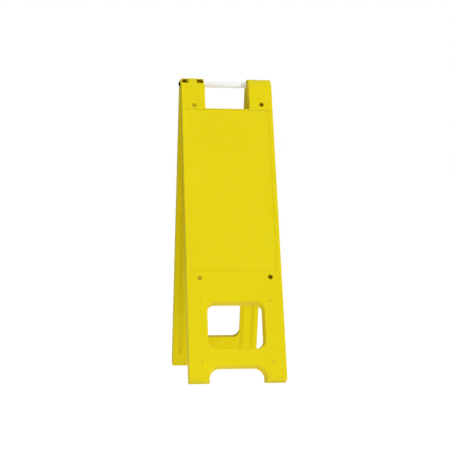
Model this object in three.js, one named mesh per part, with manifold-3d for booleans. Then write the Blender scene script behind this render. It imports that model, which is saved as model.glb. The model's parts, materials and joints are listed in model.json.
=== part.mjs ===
// Folding A-frame barricade: two identical hollow panels hinged on one rod, with a pipe handle
// on the rod between the ears. Millimetres, +Z up, +X along the hinge, the front panel towards -Y.
// Origin: on the ground, straight below the middle of the hinge axis.

import * as THREE from 'three';
import { mergeVertices } from 'three/addons/utils/BufferGeometryUtils.js';
import Module from 'manifold-3d';

// ---- Driving dimensions ----

const LEAN = THREE.MathUtils.degToRad(16.1); // lean of each panel from upright
const AXIS_HEIGHT = 1076; // hinge axis above the ground

const PANEL_WIDTH = 337;
const PANEL_THICKNESS = 44; // hinge axis to outer face
const FOLD_GAP = 2; // between the two inner faces when folded
const WALL = 3;
const EDGE_ROUND = 3;

const KNUCKLE_RADIUS = 21;
const SOLE_DROP = 1123; // hinge axis to the square-cut sole
const SOLE_ROUND = 5;
const BROW_START = 30; // below the axis, where the outer face starts to curve over

const NOTCH_WIDTH = 162; // gap between the ears
const NOTCH_FLOOR = 115; // below the axis
const EAR_CORNER = 11;

// Drops are measured down the panel from the axis, offsets sideways from the middle.
const RECESS = { width: 307, top: 119.5, bottom: 736, depth: 2, corner: 6 };
const WINDOW = { width: 194, top: 845, bottom: 1005, corner: 27 };
const ARCH = { width: 194, top: 1068, corner: 39 };
const GROOVE = { offsets: [97.5, 141], width: 12, depth: 3.5, top: 155, bottom: 1061 };
const HOLE = { offset: 127, radius: 8.5, drops: [97, 755] }; // through the outer wall only
const DIMPLE = { offset: -122.5, radius: 8.5, depth: 6, drops: [104.5, 758] };
const TACK = { offset: 122, radius: 5, depth: 0.7, drops: [841, 1052] };

const SLOT = { inner: 110.5, outer: 142.7 }; // takes the other panel's tongue
const TONGUE = { inner: 112, outer: 141.2 };
const KNUCKLE_GAP = 1.5; // round the other panel's knuckles
const SHOULDER_DROP = 13; // shoulders beside the tongue stop below the axis
const SLOT_LIP = 19.5; // the slot's outer wall stops this far out from the axis
const HOOD = { side: 3, top: 5, front: -4, floor: -26 }; // hollow of a cheek

const ROD_RADIUS = 4.75;
const ROD_BORE = 5.2;
const ROD_LENGTH = 343;
const CAP = { radius: 8.5, reach: 5.5, lift: 0.3, bore: 5.05 };
const PIPE = { radius: 10.65, bore: 7.9 };
const HANDLE = { from: -80.4, to: 62.4 };
const SPACER = { from: 64.2, to: 80.4 };
const PLUG = { drop: 185, head: 14, headDepth: 2, shank: 9.6, length: 9, gap: 0.4 };

const ARC_STEPS = 5;
const HALF_WIDTH = PANEL_WIDTH / 2;
const INNER_FACE = FOLD_GAP / 2;

// ---- Solids ----

const wasm = await Module();
wasm.setup();

function toSolid(geometry) {
  const plain = geometry.clone();
  plain.deleteAttribute('normal');
  plain.deleteAttribute('uv');
  const merged = mergeVertices(plain, 1e-4);
  const mesh = new wasm.Mesh({
    numProp: 3,
    vertProperties: new Float32Array(merged.attributes.position.array),
    triVerts: new Uint32Array(merged.index.array),
  });
  return new wasm.Manifold(mesh);
}

function toGeometry(solid) {
  const mesh = solid.getMesh();
  const geometry = new THREE.BufferGeometry();
  geometry.setAttribute('position', new THREE.BufferAttribute(new Float32Array(mesh.vertProperties), 3));
  geometry.setIndex(new THREE.BufferAttribute(new Uint32Array(mesh.triVerts), 1));
  geometry.computeVertexNormals();
  return geometry;
}

function joined(solids) {
  return solids.reduce((whole, solid) => whole.add(solid));
}

// In a panel's frame the hinge axis is the origin, x runs along it, z up the panel, and the
// outer face looks along -y, so a distance w outward from the axis is at y = -w.
const FACE_ON = new THREE.Matrix4().makeBasis(
  new THREE.Vector3(1, 0, 0), new THREE.Vector3(0, 0, 1), new THREE.Vector3(0, -1, 0));
const SIDE_ON = new THREE.Matrix4().makeBasis(
  new THREE.Vector3(0, -1, 0), new THREE.Vector3(0, 0, 1), new THREE.Vector3(-1, 0, 0));

// A shape drawn in (x, z), run from w0 to w1.
function plate(shape, w0, w1, round = 0) {
  const geometry = new THREE.ExtrudeGeometry(shape, {
    depth: w1 - w0 - 2 * round,
    curveSegments: ARC_STEPS,
    bevelEnabled: round > 0,
    bevelThickness: round,
    bevelSize: round,
    bevelOffset: -round,
    bevelSegments: 2,
  });
  geometry.applyMatrix4(FACE_ON);
  geometry.translate(0, -(w0 + round), 0);
  return toSolid(geometry);
}

// A shape drawn in (w, z), run across the panel from x0 to x1.
function bar(shape, x0, x1, arcSteps = ARC_STEPS) {
  const geometry = new THREE.ExtrudeGeometry(shape, {
    depth: x1 - x0, curveSegments: arcSteps, bevelEnabled: false });
  geometry.applyMatrix4(SIDE_ON);
  geometry.translate(x1, 0, 0);
  return toSolid(geometry);
}

function block(x0, x1, w0, w1, z0, z1) {
  const geometry = new THREE.BoxGeometry(x1 - x0, w1 - w0, z1 - z0);
  geometry.translate((x0 + x1) / 2, -(w0 + w1) / 2, (z0 + z1) / 2);
  return toSolid(geometry);
}

// A round bar through the panel's thickness.
function post(radius, x, z, w0, w1) {
  const geometry = new THREE.CylinderGeometry(radius, radius, w1 - w0, 32);
  geometry.translate(x, -(w0 + w1) / 2, z);
  return toSolid(geometry);
}

function disc(radius) {
  const shape = new THREE.Shape();
  shape.absarc(0, 0, radius, 0, Math.PI * 2, false);
  return shape;
}

// A closed outline through corners [x, y, radius], each corner an arc of that radius.
function filleted(corners, outline = new THREE.Shape()) {
  const count = corners.length;
  corners.forEach(([x, y, radius], i) => {
    const here = new THREE.Vector2(x, y);
    const back = new THREE.Vector2(...corners[(i + count - 1) % count]).sub(here).normalize();
    const ahead = new THREE.Vector2(...corners[(i + 1) % count]).sub(here).normalize();
    const half = Math.acos(back.dot(ahead)) / 2;
    const start = back.clone().multiplyScalar(radius / Math.tan(half)).add(here);
    const end = ahead.clone().multiplyScalar(radius / Math.tan(half)).add(here);
    const centre = back.clone().add(ahead).normalize();
    centre.multiplyScalar(radius / Math.sin(half)).add(here);
    const from = start.clone().sub(centre).angle();
    const to = end.clone().sub(centre).angle();
    if (i === 0) {
      outline.moveTo(start.x, start.y);
    } else {
      outline.lineTo(start.x, start.y);
    }
    outline.absarc(centre.x, centre.y, radius, from, to, back.cross(ahead) > 0);
  });
  outline.closePath();
  return outline;
}

function rectangle(halfWidth, top, bottom, corner, outline) {
  const corners = [[-halfWidth, bottom, corner], [halfWidth, bottom, corner],
    [halfWidth, top, corner], [-halfWidth, top, corner]];
  return filleted(corners, outline);
}

// ---- Panel ----

// Face-on outline, drawn in by inset all round; top is the height of the ears over the axis.
function panelOutline(inset, top) {
  const side = HALF_WIDTH - inset;
  const notch = NOTCH_WIDTH / 2 + inset;
  const arch = ARCH.width / 2 + inset;
  const sole = -SOLE_DROP + inset;
  const archTop = -ARCH.top + inset;
  const shape = filleted([
    [-side, sole, 6], [-arch, sole, 4], [-arch, archTop, ARCH.corner], [arch, archTop, ARCH.corner],
    [arch, sole, 4], [side, sole, 6], [side, top, EAR_CORNER], [notch, top, 4],
    [notch, -NOTCH_FLOOR - inset, 6], [-notch, -NOTCH_FLOOR - inset, 6],
    [-notch, top, 4], [-side, top, EAR_CORNER]]);
  const hole = rectangle(WINDOW.width / 2 + inset, -WINDOW.top + inset, -WINDOW.bottom - inset,
    WINDOW.corner + inset, new THREE.Path());
  shape.holes.push(hole);
  return shape;
}

// The brow is the arc that leaves the outer face and runs into the knuckle without a corner.
function browArc() {
  const reach = PANEL_THICKNESS ** 2 + BROW_START ** 2 - KNUCKLE_RADIUS ** 2;
  const radius = reach / (2 * (PANEL_THICKNESS - KNUCKLE_RADIUS));
  const centre = new THREE.Vector2(PANEL_THICKNESS - radius, -BROW_START);
  return { radius, centre, end: Math.atan2(BROW_START, -centre.x) };
}

// Side-on profile of the panel's body, in (w, z).
function bodyProfile() {
  const brow = browArc();
  const top = Math.asin(INNER_FACE / KNUCKLE_RADIUS);
  const shape = new THREE.Shape();
  shape.moveTo(INNER_FACE, -SOLE_DROP);
  shape.lineTo(PANEL_THICKNESS - SOLE_ROUND, -SOLE_DROP);
  shape.absarc(PANEL_THICKNESS - SOLE_ROUND, -SOLE_DROP + SOLE_ROUND, SOLE_ROUND, -Math.PI / 2, 0, false);
  shape.lineTo(PANEL_THICKNESS, -BROW_START);
  shape.absarc(brow.centre.x, brow.centre.y, brow.radius, 0, brow.end, false);
  shape.absarc(0, 0, KNUCKLE_RADIUS, brow.end, Math.PI / 2 - top, false);
  shape.closePath();
  return shape;
}

// The hollow inside a cheek, open towards the other panel, in (w, z).
function hoodProfile() {
  const brow = browArc();
  const radius = brow.radius - HOOD.top;
  const low = Math.asin((HOOD.floor - brow.centre.y) / radius);
  const high = Math.acos((HOOD.front - brow.centre.x) / radius);
  const shape = new THREE.Shape();
  shape.moveTo(-KNUCKLE_RADIUS - 2, HOOD.floor);
  shape.absarc(brow.centre.x, brow.centre.y, radius, low, high, false);
  shape.lineTo(HOOD.front, KNUCKLE_RADIUS + 2);
  shape.lineTo(-KNUCKLE_RADIUS - 2, KNUCKLE_RADIUS + 2);
  shape.closePath();
  return shape;
}

function knuckle(x0, x1) {
  return bar(disc(KNUCKLE_RADIUS), x0, x1, 16);
}

// Room round the axis for the other panel's knuckles, open upwards.
function knuckleRoom(x0, x1, wall, floor) {
  const round = bar(disc(KNUCKLE_RADIUS + KNUCKLE_GAP), x0, x1, 16);
  return round.add(block(x0, x1, -PANEL_THICKNESS, wall, floor, PANEL_THICKNESS));
}

// The outer form: body, tongue on the -x ear, two cheeks on the +x ear.
function panelForm() {
  const past = HALF_WIDTH + 5;
  const inside = NOTCH_WIDTH / 2 - 5;
  let form = plate(panelOutline(0, KNUCKLE_RADIUS), INNER_FACE, PANEL_THICKNESS, EDGE_ROUND);
  form = form.intersect(bar(bodyProfile(), -past, past, 8));
  form = form.subtract(knuckleRoom(-past, -TONGUE.outer, PANEL_THICKNESS + 5, -SHOULDER_DROP));
  form = form.subtract(knuckleRoom(-TONGUE.inner, -inside, PANEL_THICKNESS + 5, -SHOULDER_DROP));
  form = form.subtract(knuckleRoom(SLOT.inner, SLOT.outer, SLOT_LIP, 0));
  const ears = plate(panelOutline(0, KNUCKLE_RADIUS + 0.01), -PANEL_THICKNESS, PANEL_THICKNESS);
  const knuckles = joined([
    knuckle(-TONGUE.outer, -TONGUE.inner),
    knuckle(NOTCH_WIDTH / 2, SLOT.inner),
    knuckle(SLOT.outer, HALF_WIDTH)]);
  return form.add(knuckles.intersect(ears));
}

// The space inside the blow-moulded walls, kept off every recess, groove and dimple.
function panelHollow() {
  const top = -BROW_START - WALL;
  const outline = panelOutline(WALL, top);
  let hollow = plate(outline, INNER_FACE + WALL, PANEL_THICKNESS - WALL);
  const side = RECESS.width / 2 + WALL;
  const skin = PANEL_THICKNESS - RECESS.depth - WALL;
  hollow = hollow.subtract(
    block(-side, side, skin, PANEL_THICKNESS, -RECESS.bottom - WALL, -RECESS.top + WALL));
  for (const middle of grooveMiddles()) {
    const near = middle - GROOVE.width / 2 - WALL;
    const far = near + GROOVE.width + 2 * WALL;
    hollow = hollow.subtract(block(near, far, 0, INNER_FACE + GROOVE.depth + WALL,
      -GROOVE.bottom - WALL, -GROOVE.top + WALL));
  }
  for (const drop of DIMPLE.drops) {
    hollow = hollow.subtract(post(DIMPLE.radius + WALL, DIMPLE.offset, -drop,
      PANEL_THICKNESS - DIMPLE.depth - WALL, PANEL_THICKNESS));
  }
  const seat = INNER_FACE + PLUG.headDepth + PLUG.gap;
  return hollow.subtract(post(PLUG.head + WALL, 0, -PLUG.drop, 0, seat + WALL));
}

function grooveMiddles() {
  return GROOVE.offsets.flatMap((offset) => [-offset, offset]);
}

// A round sinking in the outer face.
function sunk({ radius, depth }, x, drop) {
  return post(radius, x, -drop, PANEL_THICKNESS - depth, PANEL_THICKNESS + 5);
}

function panelSolid() {
  let solid = panelForm();
  const recess = rectangle(RECESS.width / 2, -RECESS.top, -RECESS.bottom, RECESS.corner);
  solid = solid.subtract(plate(recess, PANEL_THICKNESS - RECESS.depth, PANEL_THICKNESS + 5));
  for (const middle of grooveMiddles()) {
    const groove = new THREE.Shape();
    const radius = GROOVE.width / 2;
    groove.absarc(middle, -GROOVE.top - radius, radius, 0, Math.PI, false);
    groove.absarc(middle, -GROOVE.bottom + radius, radius, Math.PI, Math.PI * 2, false);
    groove.closePath();
    solid = solid.subtract(plate(groove, -5, INNER_FACE + GROOVE.depth));
  }
  for (const drop of TACK.drops) {
    solid = solid.subtract(sunk(TACK, -TACK.offset, drop)).subtract(sunk(TACK, TACK.offset, drop));
  }
  for (const drop of DIMPLE.drops) {
    solid = solid.subtract(sunk(DIMPLE, DIMPLE.offset, drop));
  }
  for (const drop of HOLE.drops) {
    solid = solid.subtract(sunk({ radius: HOLE.radius, depth: WALL + 1 }, HOLE.offset, drop));
  }
  const hood = hoodProfile();
  solid = solid.subtract(bar(hood, NOTCH_WIDTH / 2 + HOOD.side, SLOT.inner - HOOD.side, 8));
  solid = solid.subtract(bar(hood, SLOT.outer + HOOD.side, HALF_WIDTH - HOOD.side, 8));
  solid = solid.subtract(bar(disc(ROD_BORE), -HALF_WIDTH - 5, HALF_WIDTH + 5, 8));
  solid = solid.subtract(panelHollow());
  const seat = INNER_FACE + PLUG.headDepth + PLUG.gap;
  solid = solid.subtract(post(PLUG.head + PLUG.gap, 0, -PLUG.drop, -5, seat));
  solid = solid.subtract(post(PLUG.shank + PLUG.gap, 0, -PLUG.drop, -5, seat + WALL + 5));
  return solid.subtract(groundCut());
}

// Everything below the ground, seen from a leaning panel: it leaves a flat contact strip.
function groundCut() {
  const geometry = new THREE.BoxGeometry(PANEL_WIDTH + 60, 400, 60);
  geometry.translate(0, -SOLE_DROP * Math.sin(LEAN), -30 - AXIS_HEIGHT);
  geometry.rotateX(LEAN);
  return toSolid(geometry);
}

// ---- Hinge and handle ----

// A closed profile of points [radius, x], turned about the hinge axis.
function turned(points, steps = 32) {
  const outline = points.map(([radius, x]) => new THREE.Vector2(radius, x));
  const geometry = new THREE.LatheGeometry(outline, steps);
  geometry.rotateZ(-Math.PI / 2);
  return toGeometry(toSolid(geometry));
}

function pipe(from, to) {
  return turned([[PIPE.bore, from], [PIPE.radius, from], [PIPE.radius, to], [PIPE.bore, to],
    [PIPE.bore, from]], 40);
}

function rod() {
  const end = ROD_LENGTH / 2;
  const chamfer = 0.8;
  return turned([[0, -end], [ROD_RADIUS - chamfer, -end], [ROD_RADIUS, -end + chamfer],
    [ROD_RADIUS, end - chamfer], [ROD_RADIUS - chamfer, end], [0, end]]);
}

// Push-on cap of the +x end, with a domed top over a blind bore.
function cap() {
  const foot = HALF_WIDTH + CAP.lift;
  const tip = HALF_WIDTH + CAP.reach;
  const bore = ROD_LENGTH / 2 + CAP.lift;
  const domeStart = foot + 2.5;
  const points = [[0, bore], [CAP.bore, bore], [CAP.bore, foot], [CAP.radius, foot]];
  const steps = 6;
  for (let i = 0; i <= steps; i += 1) {
    const turn = (i / steps) * Math.PI / 2;
    points.push([CAP.radius * Math.cos(turn), domeStart + (tip - domeStart) * Math.sin(turn)]);
  }
  points[points.length - 1][0] = 0;
  return turned(points);
}

// Snap-in plug of the fill port, flush with the inner face.
function plug() {
  const base = -(INNER_FACE + 0.2);
  const under = base - PLUG.headDepth + 0.2;
  const outline = [[0, base], [PLUG.head, base], [PLUG.head, under], [PLUG.shank, under],
    [PLUG.shank, base - PLUG.length], [0, base - PLUG.length]];
  const points = outline.reverse().map(([radius, y]) => new THREE.Vector2(radius, y));
  const geometry = new THREE.LatheGeometry(points, 32);
  geometry.translate(0, 0, -PLUG.drop);
  return toGeometry(toSolid(geometry));
}

// ---- Assembly ----

const yellow = new THREE.MeshStandardMaterial({ color: 0xe6d31d, roughness: 0.5, metalness: 0 });
const white = new THREE.MeshStandardMaterial({ color: 0xf4f4f2, roughness: 0.35, metalness: 0 });
const steel = new THREE.MeshStandardMaterial({ color: 0xb4b6b8, roughness: 0.35, metalness: 1 });
const black = new THREE.MeshStandardMaterial({ color: 0x1a1714, roughness: 0.55, metalness: 0 });

function named(name, geometry, material) {
  const mesh = new THREE.Mesh(geometry, material);
  mesh.name = name;
  return mesh;
}

// A leaning panel with its plug, hung from the hinge axis.
function leaf(side) {
  const group = new THREE.Group();
  group.add(named(`${side}_panel`, toGeometry(panelSolid()), yellow));
  group.add(named(`${side}_fill_plug`, plug(), yellow));
  group.rotation.x = -LEAN;
  return group;
}

const barricade = new THREE.Group();
const hinge = new THREE.Group();
hinge.position.z = AXIS_HEIGHT;
barricade.add(hinge);

hinge.add(leaf('front'));

const rearTurn = new THREE.Group();
rearTurn.rotation.z = Math.PI;
rearTurn.add(leaf('rear'));
hinge.add(rearTurn);

hinge.add(named('hinge_rod', rod(), steel));
hinge.add(named('rod_cap_right', cap(), black));
const leftCap = named('rod_cap_left', cap(), black);
leftCap.rotation.z = Math.PI;
hinge.add(leftCap);

hinge.add(named('handle_tube', pipe(HANDLE.from, HANDLE.to), white));
hinge.add(named('handle_spacer', pipe(SPACER.from, SPACER.to), white));

export default barricade;
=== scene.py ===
"""Looks of the folding A-frame barricade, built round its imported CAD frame."""
import json
import math

import bpy
import numpy as np
from mathutils import Matrix, Vector


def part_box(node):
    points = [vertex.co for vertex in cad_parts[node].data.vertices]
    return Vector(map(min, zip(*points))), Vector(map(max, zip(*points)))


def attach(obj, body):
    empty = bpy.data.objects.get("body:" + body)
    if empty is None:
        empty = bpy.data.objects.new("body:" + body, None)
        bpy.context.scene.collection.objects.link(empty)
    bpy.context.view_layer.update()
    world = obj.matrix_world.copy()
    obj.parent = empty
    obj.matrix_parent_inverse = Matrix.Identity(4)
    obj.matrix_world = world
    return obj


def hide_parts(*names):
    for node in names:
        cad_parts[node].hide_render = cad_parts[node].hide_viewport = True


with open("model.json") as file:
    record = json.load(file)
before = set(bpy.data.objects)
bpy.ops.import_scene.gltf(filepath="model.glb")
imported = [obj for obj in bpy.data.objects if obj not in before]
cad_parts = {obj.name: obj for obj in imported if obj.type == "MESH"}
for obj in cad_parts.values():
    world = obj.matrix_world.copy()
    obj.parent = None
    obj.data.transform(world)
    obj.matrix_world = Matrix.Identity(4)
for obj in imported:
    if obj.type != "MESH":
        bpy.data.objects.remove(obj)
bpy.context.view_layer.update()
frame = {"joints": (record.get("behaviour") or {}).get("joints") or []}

MM = 0.001

# ---- Driving dimensions, read from the frame ----

JOINTS = {joint["name"]: joint for joint in frame["joints"]}
AXIS = Vector(JOINTS["panel_hinge"]["pos_m"])
LEAN = math.radians(-JOINTS["panel_hinge"]["range_deg"][0] / 2)  # half the angle that it opens
AXIS_HEIGHT = AXIS.z / MM
HALF_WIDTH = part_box("front_panel")[1].x / MM
PIPE_RADIUS = (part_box("handle_tube")[1].z - AXIS.z) / MM
HANDLE_SPAN = [corner.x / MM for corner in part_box("handle_tube")]
SPACER_SPAN = [corner.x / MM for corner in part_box("handle_spacer")]
ROD_RADIUS = (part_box("hinge_rod")[1].z - AXIS.z) / MM
ROD_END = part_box("hinge_rod")[1].x / MM
CAP_RADIUS = (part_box("rod_cap_right")[1].z - AXIS.z) / MM
CAP_SPAN = [corner.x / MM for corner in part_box("rod_cap_right")]

# ---- Panel dimensions, millimetres ----

# A panel's own frame is (x, w, z) from the hinge axis: x along it, w outwards, z up the panel.
# Tops, bottoms and drops are measured down the panel from the axis, offsets from its middle.
THICKNESS = 44.0
INNER_FACE = 1.0
KNUCKLE = 21.0
EAR_TOP = KNUCKLE + 3
EAR_CORNER = 16.0
SOLE = 1123.0
SOLE_ROUND = 5.0
INNER_ROUND = 3.0
GROUND_ROUND = 1.0
KNUCKLE_FILLET = 3.0
BROW_START = 30.0
EDGE = 3.5
DRAFT = 0.15
NOTCH_HALF = 81.0
NOTCH_FLOOR = 115.0
NOTCH_CORNER = 6.0
NOTCH_RIM = 4.0
RECESS_HALF = 153.5
RECESS_TOP = 119.5
RECESS_BOTTOM = 736.0
RECESS_DEPTH = 2.0
RECESS_SLOPE = 3.0
RECESS_CORNER = 6.0
RECESS_TOP_ROUND = 2.0
RECESS_FLOOR_ROUND = 1.5
RECESS_RIM = 2.5
WINDOW_HALF = 100.0
WINDOW_TOP = 842.5
WINDOW_BOTTOM = 1008.0
WINDOW_CORNER = 30.0
ARCH_HALF = 100.0
ARCH_TOP = 1065.0
ARCH_CORNER = 42.0
GROOVE_OFFSETS = (97.5, 141.0)
GROOVE_HALF = 9.0
GROOVE_DEPTH = 6.0
GROOVE_TOP = 155.0
GROOVE_BOTTOM = 1061.0
GROOVE_RIM = 4.0
HOLE_OFFSET = 127.0
HOLE_RADIUS = 8.5
HOLE_DEPTH = 26.0
HOLE_DROPS = (97.0, 755.0)
HOLE_RIM = 1.2
DIMPLE_OFFSET = 122.5
DIMPLE_DROPS = (104.5, 758.0)
DIMPLE_DEPTH = 7.0
DIMPLE_BALL = 8.8
DIMPLE_RIM = 1.5
TACK_OFFSET = 122.0
TACK_RADIUS = 5.0
TACK_DEPTH = 0.25
TACK_DROPS = (841.0, 1052.0)
TACK_RIM = 3.0
POCKET_ROUND = 3.0
SLOT = (110.5, 142.7)
TONGUE = (112.0, 141.2)
TONGUE_RIM = 1.8
SLOT_RIM = 1.5
ROOM_ROUND = 2.0
KNUCKLE_ROOM = 22.5
SHOULDER = 13.0
SLOT_LIP = 19.5
HOOD_TOP = 5.0
HOOD_FRONT = 4.0
HOOD_FLOOR = 26.0
HOOD_BANDS = ((84.0, 107.5), (145.7, 165.5))
HOOD_ROUND = 3.0
HOOD_RIM = 1.2
BORE = 5.2
BORE_RIM = 0.8
PLUG_DROP = 185.0
PLUG_SEAT = 14.7
PLUG_SEAT_DEPTH = 2.9
PLUG_SEAT_ROUND = 0.5
PLUG_SEAT_RIM = 1.0
PORT_BORE = 10.4
PORT_DEPTH = 12.0
PORT_RIM = 0.5

# ---- Plug, rod, cap and pipe dimensions, millimetres ----

PLUG_HEAD = 14.0
PLUG_HEAD_SPAN = (1.2, 3.2)
PLUG_SHANK = 9.4
PLUG_SHANK_SPAN = (2.0, 10.0)
PLUG_RING = (9.2, 6.4)
PLUG_RING_RADIUS = 0.5
COIN_SLOT_HALF = (9.0, 1.3)
COIN_SLOT_DEPTH = 2.6
PIPE_WALL = 2.75
ROD_CHAMFER = 0.9
CAP_BORE = ROD_RADIUS + 0.25
CAP_SEAT = ROD_END + 0.3
CAP_FLANGE = 1.3
CAP_CROWN = CAP_RADIUS - 1.3

# Which side of the hinge each leaf stands on, the start of its pieces' names, and its body.
LEAVES = ((-1, "front", "front_leaf"), (1, "rear", "rear_leaf"))


# ---- Distance fields: negative inside ----

def both(a, b, r=0.0):
    """Where two solids overlap, with the edge between them rounded to r."""
    outside = np.hypot(np.maximum(a + r, 0), np.maximum(b + r, 0))
    return np.minimum(-r, np.maximum(a, b)) + outside


def join(a, b, r=0.0):
    """Two solids together, with a fillet of r between them."""
    return -both(-a, -b, r)


def cut(a, b, r=0.0):
    """Solid a without solid b, with the rim of the cut rounded to r."""
    return both(a, -b, r)


def rectangle(x, z, left, right, low, high, r=0.0):
    """A rectangle seen face-on, with its corners rounded to r."""
    dx = np.abs(x - (left + right) / 2) - (right - left) / 2 + r
    dz = np.abs(z - (low + high) / 2) - (high - low) / 2 + r
    return np.minimum(np.maximum(dx, dz), 0) + np.hypot(np.maximum(dx, 0), np.maximum(dz, 0)) - r


def band(x, left, right):
    """Everything between left and right."""
    return np.abs(x - (left + right) / 2) - (right - left) / 2


FAR = 400.0  # well past any edge of the panel
BROW_RADIUS = (THICKNESS**2 + BROW_START**2 - KNUCKLE**2) / (2 * (THICKNESS - KNUCKLE))
BROW_MIDDLE = THICKNESS - BROW_RADIUS


def outline(x, w, z):
    """Face-on outline of a panel: ears with a notch between, window, arch between the feet.

    The window and the arch narrow towards the inner face by the mould's draft.
    """
    inset = DRAFT * (THICKNESS - w)
    shape = rectangle(x, z, -HALF_WIDTH, HALF_WIDTH, -SOLE - FAR, EAR_TOP, EAR_CORNER)
    notch = rectangle(x, z, -NOTCH_HALF, NOTCH_HALF, -NOTCH_FLOOR, FAR, NOTCH_CORNER)
    arch = rectangle(x, z, -ARCH_HALF, ARCH_HALF, -SOLE - FAR, -ARCH_TOP, ARCH_CORNER)
    window = rectangle(x, z, -WINDOW_HALF, WINDOW_HALF, -WINDOW_BOTTOM, -WINDOW_TOP, WINDOW_CORNER)
    shape = cut(shape, notch, NOTCH_RIM)
    shape = cut(shape, arch + inset)
    return cut(shape, window + inset)


def outer_face(w, z):
    """The flat outer face, curving over to the knuckle above the brow."""
    curved = np.hypot(w - BROW_MIDDLE, z + BROW_START) - BROW_RADIUS
    return np.where(z > -BROW_START, curved, w - THICKNESS)


def profile(w, z):
    """Side-on profile of a panel with its knuckle and its contact strip on the ground."""
    ground = -(AXIS_HEIGHT + z * math.cos(LEAN) + w * math.sin(LEAN))
    body = both(outer_face(w, z), DRAFT * w - SOLE - z, SOLE_ROUND)
    body = both(body, INNER_FACE - w, INNER_ROUND)
    body = both(body, ground, GROUND_ROUND)
    fillet = np.where(z < 0, KNUCKLE_FILLET, 0.0)
    return join(body, np.hypot(w, z) - KNUCKLE, fillet)


def recess(x, w, z):
    """The sign face: a steep step along its top, gently sloped sides and bottom."""
    flat = rectangle(x, z, -RECESS_HALF, RECESS_HALF, -RECESS_BOTTOM, 0, RECESS_CORNER)
    sloped = (flat + RECESS_SLOPE * (THICKNESS - w)) / math.hypot(1, RECESS_SLOPE)
    area = both(sloped, z + RECESS_TOP, RECESS_TOP_ROUND)
    return both(area, THICKNESS - RECESS_DEPTH - w, RECESS_FLOOR_ROUND)


def tongue_room(x, w, z):
    """Cleared beside the tongue for the other panel's cheeks."""
    past_notch = -NOTCH_HALF + 20
    beside = np.minimum(x + TONGUE[1], band(x, -TONGUE[0], past_notch))
    room = join(-SHOULDER - z, np.hypot(w, z) - KNUCKLE_ROOM, ROOM_ROUND)
    return both(beside, room, ROOM_ROUND)


def tongue_slot(x, w, z):
    """Cleared between the cheeks for the other panel's tongue."""
    room = np.minimum(np.hypot(w, z) - KNUCKLE_ROOM, np.maximum(w - SLOT_LIP, -z))
    return both(band(x, *SLOT), room, ROOM_ROUND)


def hood(x, w, z):
    """The hollow of both cheeks, open towards the other panel, HOOD_TOP under brow and corner."""
    under = np.hypot(w - BROW_MIDDLE, z + BROW_START) - (BROW_RADIUS - HOOD_TOP)
    room = np.maximum(np.minimum(under, w + HOOD_FRONT), -HOOD_FLOOR - z)
    first, second = (band(x, *span) for span in HOOD_BANDS)
    skin = rectangle(x, z, -HALF_WIDTH, HALF_WIDTH, -FAR, EAR_TOP, EAR_CORNER) + HOOD_TOP
    return both(both(np.minimum(first, second), room, HOOD_ROUND), skin, HOOD_ROUND)


def groove(x, w, z):
    """The round-bottomed stiffening channels in the inner face."""
    along = z - np.clip(z, -GROOVE_BOTTOM, -GROOVE_TOP)
    radius = (GROOVE_HALF**2 + GROOVE_DEPTH**2) / (2 * GROOVE_DEPTH)
    below = w - INNER_FACE - GROOVE_DEPTH + radius
    inner, outer = (np.sqrt((np.abs(x) - middle)**2 + along**2 + below**2) - radius
                    for middle in GROOVE_OFFSETS)
    return np.minimum(inner, outer)


def pocket(x, w, z, offset, drop, radius, depth):
    """A round pocket sunk in the outer face, with a rounded bottom."""
    round_hole = np.hypot(x - offset, z + drop) - radius
    return both(round_hole, THICKNESS - depth - w, POCKET_ROUND)


def bowl(x, w, z, offset, drop):
    """A dimple in the outer face, pressed by a ball."""
    above = w - THICKNESS + DIMPLE_DEPTH - DIMPLE_BALL
    return np.sqrt((x - offset)**2 + (z + drop)**2 + above**2) - DIMPLE_BALL


def rooms(x, w, z):
    """Everything that is cut out of a panel, each with the rounding of its rim."""
    yield tongue_room(x, w, z), TONGUE_RIM
    yield tongue_slot(x, w, z), SLOT_RIM
    yield hood(x, w, z), HOOD_RIM
    yield np.hypot(w, z) - BORE, BORE_RIM
    yield groove(x, w, z), GROOVE_RIM
    for drop in HOLE_DROPS:
        yield pocket(x, w, z, HOLE_OFFSET, drop, HOLE_RADIUS, HOLE_DEPTH), HOLE_RIM
    for drop in DIMPLE_DROPS:
        yield bowl(x, w, z, -DIMPLE_OFFSET, drop), DIMPLE_RIM
    for drop in TACK_DROPS:
        yield pocket(np.abs(x), w, z, TACK_OFFSET, drop, TACK_RADIUS, TACK_DEPTH), TACK_RIM
    around_port = np.hypot(x, z + PLUG_DROP)
    seat_floor = w - INNER_FACE - PLUG_SEAT_DEPTH
    yield both(around_port - PLUG_SEAT, seat_floor, PLUG_SEAT_ROUND), PLUG_SEAT_RIM
    yield both(around_port - PORT_BORE, w - PORT_DEPTH), PORT_RIM


def panel_field(x, w, z):
    """One whole panel: the slab with its sunk face and outline, less all its rooms."""
    side = cut(profile(w, z), recess(x, w, z), RECESS_RIM)
    field = both(side, outline(x, w, z), EDGE)
    for room, rim in rooms(x, w, z):
        field = cut(field, room, rim)
    return field


# ---- Meshes ----

FROM_FIELD = np.array([1, -1, 1])  # a field's (x, w, z) to a mesh's (x, y, z), and back
EAR_GRID = 74.0  # the grid is fine outside this offset, and inside the next one
PORT_GRID = 18.0


def lines(start, *spans):
    """Grid lines from start through each (stop, step) in turn."""
    values = [start]
    for stop, step in spans:
        count = max(1, round((stop - values[-1]) / step))
        values.extend(np.linspace(values[-1], stop, count + 1)[1:])
    return np.array(values)


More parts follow.
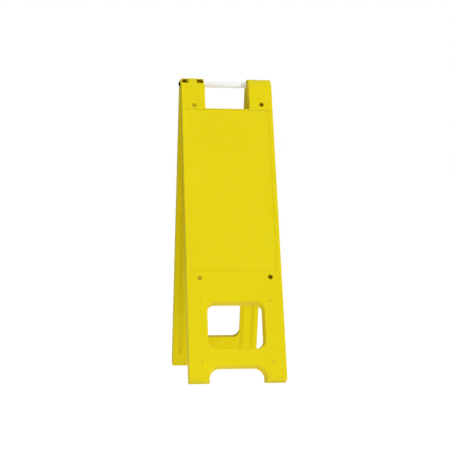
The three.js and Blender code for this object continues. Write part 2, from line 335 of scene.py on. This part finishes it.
def surface_net(field, xs, ws, zs):
    """Points and quads of the field's zero surface on a grid, one point in each crossed cell."""
    values = field(xs[:, None, None], ws[None, :, None], zs[None, None, :])
    inside = values < 0
    corners = [(i, j, k) for i in (0, 1) for j in (0, 1) for k in (0, 1)]
    shape = [n - 1 for n in inside.shape]
    count = np.zeros(shape, int)
    for i, j, k in corners:
        count += inside[i:i + shape[0], j:j + shape[1], k:k + shape[2]]
    cells = np.argwhere((count > 0) & (count < 8))
    number = np.full(shape, -1)
    number[tuple(cells.T)] = np.arange(len(cells))

    axes = (xs, ws, zs)
    total = np.zeros((len(cells), 3))
    crossings = np.zeros(len(cells))
    for corner in corners:
        for axis in range(3):
            if corner[axis] == 1:
                continue
            low = cells + np.array(corner)
            high = low.copy()
            high[:, axis] += 1
            v0 = values[tuple(low.T)]
            v1 = values[tuple(high.T)]
            crossed = (v0 < 0) != (v1 < 0)
            share = np.where(crossed, v0 / np.where(crossed, v0 - v1, 1), 0)
            point = np.stack([axes[n][low[:, n]] for n in range(3)], -1)
            step = axes[axis][high[:, axis]] - axes[axis][low[:, axis]]
            point[:, axis] += share * step
            total += point * crossed[:, None]
            crossings += crossed
    points = total / crossings[:, None]

    quads = []
    for axis in range(3):
        u, v = (axis + 1) % 3, (axis + 2) % 3
        here = np.take(inside, range(shape[axis]), axis)
        there = np.take(inside, range(1, shape[axis] + 1), axis)
        edges = np.argwhere(here != there)
        edges = edges[(edges[:, u] > 0) & (edges[:, v] > 0)]
        ring = []
        for du, dv in ((1, 1), (0, 1), (0, 0), (1, 0)):
            cell = edges.copy()
            cell[:, u] -= du
            cell[:, v] -= dv
            ring.append(number[tuple(cell.T)])
        quad = np.stack(ring, -1)
        flip = ~here[tuple(edges.T)]
        quad[flip] = quad[flip][:, ::-1]
        quads.append(quad)
    return points, np.concatenate(quads)


def gradient(field, points, step=0.05):
    """The field's slope at each point."""
    slopes = []
    for axis in range(3):
        ahead = points.copy()
        behind = points.copy()
        ahead[:, axis] += step
        behind[:, axis] -= step
        slopes.append((field(*ahead.T) - field(*behind.T)) / (2 * step))
    return np.stack(slopes, -1)


def settle(field, points, reach=1.2):
    """Moves each point along the field's slope onto the zero surface; gives points and normals."""
    start = points.copy()
    for _ in range(4):
        slope = gradient(field, points)
        square = np.maximum((slope**2).sum(1), 0.2)
        points = points - (field(*points.T) / square)[:, None] * slope
        shift = points - start
        length = np.linalg.norm(shift, axis=1)
        points = start + shift * np.minimum(1, reach / np.maximum(length, 1e-9))[:, None]
    normals = gradient(field, points)
    return points, normals / np.linalg.norm(normals, axis=1)[:, None]


def leaf_matrix(side):
    """From a panel's own frame (x, -w, z) in mm to the scene: side -1 is the front, 1 the rear."""
    turn = Matrix.Rotation(math.pi if side > 0 else 0, 4, "Z")
    return Matrix.Translation(AXIS) @ turn @ Matrix.Rotation(-LEAN, 4, "X") @ Matrix.Scale(MM, 4)


def add_object(name, data):
    """A new object in the scene that holds the data."""
    made = bpy.data.objects.new(name, data)
    bpy.context.scene.collection.objects.link(made)
    return made


def mesh_piece(name, points, faces, material, normals=None):
    """A smooth mesh in the scene, shaded by the normals of its points if they are given."""
    mesh = bpy.data.meshes.new(name)
    mesh.from_pydata(points, [], faces)
    mesh.polygons.foreach_set("use_smooth", [True] * len(mesh.polygons))
    if normals is not None:
        mesh.normals_split_custom_set_from_vertices(normals.tolist())
    mesh.materials.append(material)
    return add_object(name, mesh)


def panel_surface():
    """One panel's points, faces and normals in its own frame, millimetres.

    The grid is fine where there is detail, and coarse along plain faces.
    """
    fine = 1.5
    ear = lines(EAR_GRID, (HALF_WIDTH + 2.5, fine))
    middle = lines(-EAR_GRID, (-PORT_GRID, 7), (PORT_GRID, fine), (EAR_GRID, 7))
    xs = np.concatenate([-ear[::-1], middle[1:-1], ear])
    ws = lines(-22.9, (9.5, fine), (33.5, 2.4), (46, 1.25))
    zs = lines(-SOLE - 3, (-1092, fine), (-1000, 2), (-960, 4), (-900, 6), (-838, 2), (-775, 6),
               (-725, fine), (-205, 10), (-90, fine), (-62, 4), (24, fine))
    points, faces = surface_net(panel_field, xs, ws, zs)
    points, normals = settle(panel_field, points)
    return points * FROM_FIELD, faces[:, ::-1], normals * FROM_FIELD


def rounded_path(corners, steps=6):
    """A run of points round corners (radius, x, rounding), each corner an arc.

    The first and the last corner only give directions, and get no points.
    """
    path = []
    for before, (radius, x, rounding), after in zip(corners, corners[1:], corners[2:]):
        here = np.array([radius, x])
        back = np.array(before[:2]) - here
        ahead = np.array(after[:2]) - here
        back = back / np.linalg.norm(back)
        ahead = ahead / np.linalg.norm(ahead)
        half = math.acos(np.clip(back @ ahead, -1, 1)) / 2
        centre = here + (back + ahead) / np.linalg.norm(back + ahead) * rounding / math.sin(half)
        start = here + back * rounding / math.tan(half) - centre
        end = here + ahead * rounding / math.tan(half) - centre
        first = math.atan2(start[1], start[0])
        sweep = (math.atan2(end[1], end[0]) - first + math.pi) % math.tau - math.pi
        for i in range(steps + 1):
            turn = first + sweep * i / steps
            path.append(centre + rounding * np.array([math.cos(turn), math.sin(turn)]))
    return np.array(path)


def turned(name, path, material, closed, steps=72):
    """A path of (radius, x) turned about the hinge axis; closed joins its ends, else they cap."""
    turns = np.arange(steps) * math.tau / steps
    rings = [[(x, r * math.cos(t), r * math.sin(t)) for t in turns] for r, x in path]
    points = [point for ring in rings for point in ring]
    count = len(path)
    faces = []
    for i in range(count if closed else count - 1):
        first, second = i * steps, (i + 1) % count * steps
        for j in range(steps):
            k = (j + 1) % steps
            faces.append((first + j, second + j, second + k, first + k))
    if not closed:
        for ring, flip in ((0, False), (count - 1, True)):
            points.append((path[ring][1], 0, 0))
            for j in range(steps):
                k = (j + 1) % steps
                face = (len(points) - 1, ring * steps + j, ring * steps + k)
                faces.append(face[::-1] if flip else face)
    return mesh_piece(name, [AXIS + Vector(point) * MM for point in points], faces, material)


# ---- Materials ----

YELLOW = (0.80, 0.665, 0.004, 1)
YELLOW_DEEP = (0.785, 0.645, 0.003, 1)
YELLOW_PALE = (0.82, 0.70, 0.02, 1)
# The dirt near the feet, also used as the painted shade of the creases.
DIRT_AND_CREASE_SHADE = (0.16, 0.12, 0.05, 1)
WHITE = (0.95, 0.955, 0.965, 1)
WHITE_HELD = (0.82, 0.82, 0.81, 1)
ZINC = (0.62, 0.63, 0.64, 1)
ZINC_DULL = (0.48, 0.48, 0.47, 1)
BLACK = (0.006, 0.005, 0.004, 1)
BLACK_SCUFFED = (0.020, 0.018, 0.015, 1)
PARTING_DEPTH = 22.5  # of the mould, outwards from the hinge axis


def add(tree, kind, inputs=None, **settings):
    """A shader node with its settings, and its inputs set to values or joined to sockets."""
    made = tree.nodes.new("ShaderNode" + kind)
    for name, value in settings.items():
        setattr(made, name, value)
    for name, value in (inputs or {}).items():
        if isinstance(value, bpy.types.NodeSocket):
            tree.links.new(value, made.inputs[name])
        else:
            made.inputs[name].default_value = value
    return made


def new_material(name):
    """A new material with its node tree and its surface shader."""
    material = bpy.data.materials.new(name)
    material.use_nodes = True
    tree = material.node_tree
    return material, tree, tree.nodes["Principled BSDF"]


def noise(tree, coords, scale, detail=2.0, rough=0.5):
    """A noise value from about 0.3 to 0.7, with scale waves in a metre."""
    made = add(tree, "TexNoise", {"Vector": coords, "Scale": scale, "Detail": detail, "Roughness": rough})
    return made.outputs["Fac"]


def stretched(tree, coords, scale):
    """The coordinates scaled by a different amount along each axis, for streaks."""
    return add(tree, "Mapping", {"Vector": coords, "Scale": scale}).outputs["Vector"]


def ramp(tree, value, low, high, to_low=0.0, to_high=1.0):
    """The value eased from to_low at low to to_high at high, and held beyond them."""
    inputs = {"Value": value, "From Min": low, "From Max": high, "To Min": to_low, "To Max": to_high}
    made = add(tree, "MapRange", inputs, interpolation_type="SMOOTHSTEP")
    return made.outputs["Result"]


def times(tree, a, b):
    return add(tree, "Math", {0: a, 1: b}, operation="MULTIPLY").outputs[0]


def tint(tree, factor, a, b):
    """Colour a where factor is 0, colour b where it is 1."""
    made = add(tree, "Mix", {0: factor, 6: a, 7: b}, data_type="RGBA")
    return made.outputs[2]


def bump(tree, height, strength, depth, below=None):
    """A normal bent by height, on top of the normal below it."""
    inputs = {"Height": height, "Strength": strength, "Distance": depth}
    if below is not None:
        inputs["Normal"] = below
    return add(tree, "Bump", inputs).outputs["Normal"]


def object_coords(tree):
    """Places in the object's own frame, in metres."""
    return add(tree, "TexCoord").outputs["Object"]


def yellow_plastic():
    """Blow-moulded safety-yellow polyethylene: grained skin, uneven wall, rubbed edges, soiled feet,
    painted shade in creases.
    """
    material, tree, surface = new_material("yellow_plastic")
    coords = object_coords(tree)
    edge = add(tree, "Attribute", attribute_name="edge").outputs["Fac"]
    depth = add(tree, "Attribute", attribute_name="depth").outputs["Fac"]
    height = add(tree, "SeparateXYZ", {"Vector": coords}).outputs["Z"]

    # A broad drift of shade, and a fine mottle.
    colour = tint(tree, ramp(tree, noise(tree, coords, 4.0, 3.0), 0.3, 0.7), YELLOW, YELLOW_DEEP)
    mottle = ramp(tree, noise(tree, coords, 60.0, 4.0, 0.65), 0.45, 0.75, 0.0, 0.22)
    colour = tint(tree, mottle, colour, YELLOW_PALE)

    # Paler where edges have been rubbed.
    rubbed = ramp(tree, noise(tree, coords, 35.0, 4.0, 0.7), 0.42, 0.62)
    worn = times(tree, ramp(tree, edge, 0.06, 0.20), rubbed)
    colour = tint(tree, times(tree, worn, 0.35), colour, YELLOW_PALE)

    # Dirt near the ground, and painted shade darkening the creases.
    low = ramp(tree, height, 0.05, 0.0)
    soiled = times(tree, low, ramp(tree, noise(tree, coords, 55.0, 5.0, 0.7), 0.45, 0.7))
    crease_shade = times(tree, ramp(tree, edge, -0.05, -0.22), 0.35)
    colour = tint(tree, times(tree, soiled, 0.30), colour, DIRT_AND_CREASE_SHADE)
    # Painted shade: the creases darkened towards the dirt colour.
    colour = tint(tree, crease_shade, colour, DIRT_AND_CREASE_SHADE)
    tree.links.new(colour, surface.inputs["Base Color"])

    scratch = noise(tree, stretched(tree, coords, (260.0, 260.0, 14.0)), 1.0, 3.0)
    rough = ramp(tree, scratch, 0.35, 0.75, 0.44, 0.56)
    tree.links.new(rough, surface.inputs["Roughness"])
    surface.inputs["Specular IOR Level"].default_value = 0.06
    surface.inputs["Subsurface Weight"].default_value = 0.08
    surface.inputs["Subsurface Radius"].default_value = (0.012, 0.008, 0.001)
    surface.inputs["Subsurface Scale"].default_value = 1.0

    # The mould's parting line, then the uneven wall, the grain and the scratches.
    seam = add(tree, "Math", {0: depth, 1: PARTING_DEPTH}, operation="SUBTRACT").outputs[0]
    seam = add(tree, "Math", {0: seam}, operation="ABSOLUTE").outputs[0]
    normal = bump(tree, ramp(tree, seam, 0.9, 0.2), 0.6, 0.0004)
    normal = bump(tree, noise(tree, coords, 11.0, 1.0), 0.35, 0.0025, normal)
    normal = bump(tree, noise(tree, coords, 620.0, 2.0), 0.30, 0.00035, normal)
    normal = bump(tree, scratch, 0.08, 0.0003, normal)
    tree.links.new(normal, surface.inputs["Normal"])
    return material


def white_pipe():
    """Extruded white PVC: faint draw lines along it, a little greyed where hands hold it."""
    material, tree, surface = new_material("white_pipe")
    coords = object_coords(tree)
    draw = noise(tree, stretched(tree, coords, (6.0, 700.0, 700.0)), 1.0, 2.0)
    along = add(tree, "SeparateXYZ", {"Vector": coords}).outputs["X"]
    middle = ramp(tree, add(tree, "Math", {0: along}, operation="ABSOLUTE").outputs[0], 0.06, 0.0)
    held = times(tree, middle, ramp(tree, noise(tree, coords, 70.0, 4.0, 0.7), 0.45, 0.75))
    colour = tint(tree, times(tree, held, 0.35), WHITE, WHITE_HELD)
    colour = tint(tree, times(tree, draw, 0.12), colour, WHITE_HELD)
    tree.links.new(colour, surface.inputs["Base Color"])
    tree.links.new(ramp(tree, draw, 0.3, 0.7, 0.28, 0.40), surface.inputs["Roughness"])
    tree.links.new(bump(tree, draw, 0.12, 0.0002), surface.inputs["Normal"])
    return material


def zinc_steel():
    """Zinc-plated rod, drawn lengthways, dulled in patches."""
    material, tree, surface = new_material("zinc_steel")
    coords = object_coords(tree)
    draw = noise(tree, stretched(tree, coords, (9.0, 1500.0, 1500.0)), 1.0, 2.0)
    patch = ramp(tree, noise(tree, coords, 90.0, 3.0), 0.4, 0.7)
    tree.links.new(tint(tree, patch, ZINC, ZINC_DULL), surface.inputs["Base Color"])
    surface.inputs["Metallic"].default_value = 1.0
    tree.links.new(ramp(tree, draw, 0.3, 0.7, 0.25, 0.42), surface.inputs["Roughness"])
    tree.links.new(bump(tree, draw, 0.15, 0.0001), surface.inputs["Normal"])
    return material


def black_plastic():
    """Black push-on cap: fine grain, greyed in patches."""
    material, tree, surface = new_material("black_plastic")
    coords = object_coords(tree)
    scuff = ramp(tree, noise(tree, coords, 240.0, 4.0, 0.7), 0.5, 0.8)
    tree.links.new(tint(tree, scuff, BLACK, BLACK_SCUFFED), surface.inputs["Base Color"])
    tree.links.new(ramp(tree, scuff, 0.0, 1.0, 0.42, 0.6), surface.inputs["Roughness"])
    surface.inputs["Specular IOR Level"].default_value = 0.2
    tree.links.new(bump(tree, noise(tree, coords, 1600.0), 0.2, 0.0001), surface.inputs["Normal"])
    return material


# ---- Pieces ----

def curvature(field, points, reach=1.5):
    """How sharply the surface turns at each point, per mm: above 0 on edges, below 0 in creases."""
    total = -6 * field(*points.T)
    for axis in range(3):
        for sign in (-reach, reach):
            moved = points.copy()
            moved[:, axis] += sign
            total = total + field(*moved.T)
    return total / reach**2


def store(piece, name, values):
    """Keeps a number on each point, for the material to read."""
    attribute = piece.data.attributes.new(name, "FLOAT", "POINT")
    attribute.data.foreach_set("value", values.astype(np.float32))


def placed(points, side):
    """Points of a panel's own frame, in the scene."""
    matrix = np.array(leaf_matrix(side))
    return points @ matrix[:3, :3].T + matrix[:3, 3]


def turned_normals(normals, side):
    """Normals of a panel's own frame, in the scene."""
    matrix = np.array(leaf_matrix(side))[:3, :3] / MM
    return normals @ matrix.T


def finish_piece(piece, body, node):
    """Makes a piece ride on its body and stand for its CAD node, which is hidden."""
    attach(piece, body)
    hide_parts(node)


def build_leaves(name, node, points, faces, normals, values, material):
    """The same moulding on both leaves, with its values stored on its points."""
    for side, leaf, body in LEAVES:
        piece = mesh_piece(f"{leaf}_{name}", placed(points, side).tolist(), faces.tolist(), material,
                           turned_normals(normals, side))
        for key, numbers in values.items():
            store(piece, key, numbers)
        finish_piece(piece, body, f"{leaf}_{node}")


def build_panels(material):
    """Both panel mouldings."""
    points, faces, normals = panel_surface()
    own = points * FROM_FIELD
    values = {"edge": curvature(panel_field, own), "depth": own[:, 1]}
    build_leaves("panel_shell", "panel", points, faces, normals, values, material)


def plug_field(x, w, z):
    """Snap-in plug: a rounded head with a turning slot, a shank with a snap ring."""
    radius = np.hypot(x, z)
    top, under = PLUG_HEAD_SPAN
    head = both(both(radius - PLUG_HEAD, w - under, 0.3), top - w, 0.8)
    root, tip = PLUG_SHANK_SPAN
    shank = both(both(radius - PLUG_SHANK, w - tip, 1), root - w)
    ring = np.hypot(radius - PLUG_RING[0], w - PLUG_RING[1]) - PLUG_RING_RADIUS
    plug = join(head, np.minimum(shank, ring), 0.4)
    length, width = COIN_SLOT_HALF
    coin_slot = rectangle(x, z, -length, length, -width, width, 1.2)
    return cut(plug, both(coin_slot, w - COIN_SLOT_DEPTH, 0.5), 0.4)


def build_plugs(material):
    """The plug in each panel's fill port."""
    across = lines(-15, (15, 0.5))
    points, faces = surface_net(plug_field, across, lines(0.4, (11, 0.45)), across)
    points, normals = settle(plug_field, points, 0.5)
    # Its edges are sharper than the panel's, so they are toned down. It has no parting line.
    values = {"edge": curvature(plug_field, points, 0.4) * 0.3, "depth": np.zeros(len(points))}
    points = points * FROM_FIELD - np.array([0, 0, PLUG_DROP])
    build_leaves("port_plug", "fill_plug", points, faces[:, ::-1], normals * FROM_FIELD, values, material)


def build_pipe(name, node, body, span, material):
    """A cut length of pipe, its ends rounded."""
    low, high = span
    inner = PIPE_RADIUS - PIPE_WALL
    corners = [(inner, high, 0), (inner, low, 0.7), (PIPE_RADIUS, low, 0.8),
               (PIPE_RADIUS, high, 0.8), (inner, high, 0.7), (inner, low, 0)]
    path = rounded_path(corners)
    piece = turned(name, path[::-1], material, closed=True)
    finish_piece(piece, body, node)


def build_rod(material):
    """The hinge rod, chamfered at both ends."""
    narrow = ROD_RADIUS - ROD_CHAMFER
    shoulder = ROD_END - ROD_CHAMFER
    corners = [(0, -ROD_END, 0), (narrow, -ROD_END, 0.3), (ROD_RADIUS, -shoulder, 0.4),
               (ROD_RADIUS, shoulder, 0.4), (narrow, ROD_END, 0.3), (0, ROD_END, 0)]
    piece = turned("hinge_pin_rod", rounded_path(corners), material, closed=False)
    finish_piece(piece, "front_leaf", "hinge_rod")


def build_cap(name, node, sign, material):
    """Push-on cap: a flange against the ear, a domed crown, a blind bore for the rod's end."""
    foot, tip = CAP_SPAN
    corners = [(0, CAP_SEAT, 0), (CAP_BORE, CAP_SEAT, 0.3), (CAP_BORE, foot, 0.3),
               (CAP_RADIUS, foot, 0.3), (CAP_RADIUS, foot + CAP_FLANGE, 0.4),
               (CAP_RADIUS - 0.9, foot + 1.5, 0.3), (CAP_CROWN, tip, 2.6), (0, tip, 0)]
    path = rounded_path(corners)
    path[:, 1] *= sign
    piece = turned(name, path[::-1] if sign < 0 else path, material, closed=False)
    finish_piece(piece, "front_leaf", node)


def build_object():
    """Every piece of the barricade."""
    yellow = yellow_plastic()
    white = white_pipe()
    black = black_plastic()
    build_panels(yellow)
    build_plugs(yellow)
    build_rod(zinc_steel())
    build_pipe("handle_pipe", "handle_tube", "handle", HANDLE_SPAN, white)
    build_pipe("handle_pipe_spacer", "handle_spacer", "front_leaf", SPACER_SPAN, white)
    build_cap("right_rod_cap", "rod_cap_right", 1, black)
    build_cap("left_rod_cap", "rod_cap_left", -1, black)


# ---- Stage, light and camera ----

FLOOR_REACH = 30.0  # metres
FLOOR_GLOW = 1.15
WORLD_LEFT = 0.06
WORLD_RIGHT = 0.80
SENSOR_WIDTH = 36.0
CAMERA_PLACE = (-0.525, -3.884, 0.428)  # metres
CAMERA_YAW = 0.1345  # radians
CAMERA_PITCH = 0.0315
LENS = 84.16  # millimetres, as is the sensor


def build_stage():
    """A plain pale floor that glows, evenly for the camera, and for other light most in the middle."""
    material, tree, surface = new_material("pale_floor")
    surface.inputs["Base Color"].default_value = (0.86, 0.86, 0.86, 1)
    surface.inputs["Roughness"].default_value = 0.9
    glow = add(tree, "Emission", {"Color": (1, 1, 1, 1), "Strength": FLOOR_GLOW})
    seen = add(tree, "LightPath").outputs["Is Camera Ray"]
    away = add(tree, "VectorMath", {0: object_coords(tree)}, operation="LENGTH").outputs["Value"]
    bounce = ramp(tree, away, 0.5, 2.5, 0.50, 0.15)
    share = ramp(tree, seen, 0.0, 1.0, bounce, 0.85)
    mixed = add(tree, "MixShader", {0: share, 1: surface.outputs["BSDF"], 2: glow.outputs[0]})
    tree.links.new(mixed.outputs[0], tree.nodes["Material Output"].inputs["Surface"])
    signs = ((-1, -1), (1, -1), (1, 1), (-1, 1))
    corners = [(i * FLOOR_REACH, j * FLOOR_REACH, 0) for i, j in signs]
    mesh_piece("floor", corners, [(0, 1, 2, 3)], material)


def build_world():
    """White behind the object for the camera; for the light, dim on the left and bright on the right."""
    world = bpy.data.worlds.new("studio")
    bpy.context.scene.world = world
    world.use_nodes = True
    tree = world.node_tree
    seen = add(tree, "LightPath").outputs["Is Camera Ray"]
    soft = tree.nodes["Background"]
    soft.inputs["Color"].default_value = (1.0, 0.99, 0.97, 1)
    across = add(tree, "SeparateXYZ", {"Vector": add(tree, "TexCoord").outputs["Generated"]}).outputs["X"]
    tree.links.new(ramp(tree, across, -0.7, 0.7, WORLD_LEFT, WORLD_RIGHT), soft.inputs["Strength"])
    plain = add(tree, "Background", {"Color": (1, 1, 1, 1), "Strength": 1.0})
    mixed = add(tree, "MixShader", {0: seen, 1: soft.outputs[0], 2: plain.outputs[0]})
    tree.links.new(mixed.outputs[0], tree.nodes["World Output"].inputs["Surface"])


def area_light(name, place, aim, size, power):
    """A square soft light at place, facing aim; size in metres, power in watts."""
    light = bpy.data.lights.new(name, "AREA")
    light.size = size
    light.energy = power
    lamp = add_object(name, light)
    lamp.location = place
    lamp.rotation_euler = (Vector(aim) - Vector(place)).to_track_quat("-Z", "Y").to_euler()


def build_lights():
    """A broad key from the front right, a top light, and a weak fill low on the left."""
    middle = (0, 0, 0.5)
    area_light("key_softbox", (2.0, -4.1, 1.3), middle, 1.8, 60)
    area_light("top_softbox", (0.0, -0.8, 3.4), middle, 2.4, 25)
    area_light("low_softbox", (-1.7, -1.1, 0.2), (0, 0, 0.15), 1.0, 9)


def build_camera():
    """A low camera, a little to the left of the barricade, that looks slightly up at it."""
    data = bpy.data.cameras.new("camera")
    data.lens = LENS
    data.sensor_width = SENSOR_WIDTH
    camera = add_object("camera", data)
    camera.location = CAMERA_PLACE
    camera.rotation_euler = (math.pi / 2 + CAMERA_PITCH, 0, -CAMERA_YAW)
    bpy.context.scene.camera = camera


build_object()
build_stage()
build_world()
build_lights()
build_camera()
bpy.context.scene.view_settings.view_transform = "Standard"
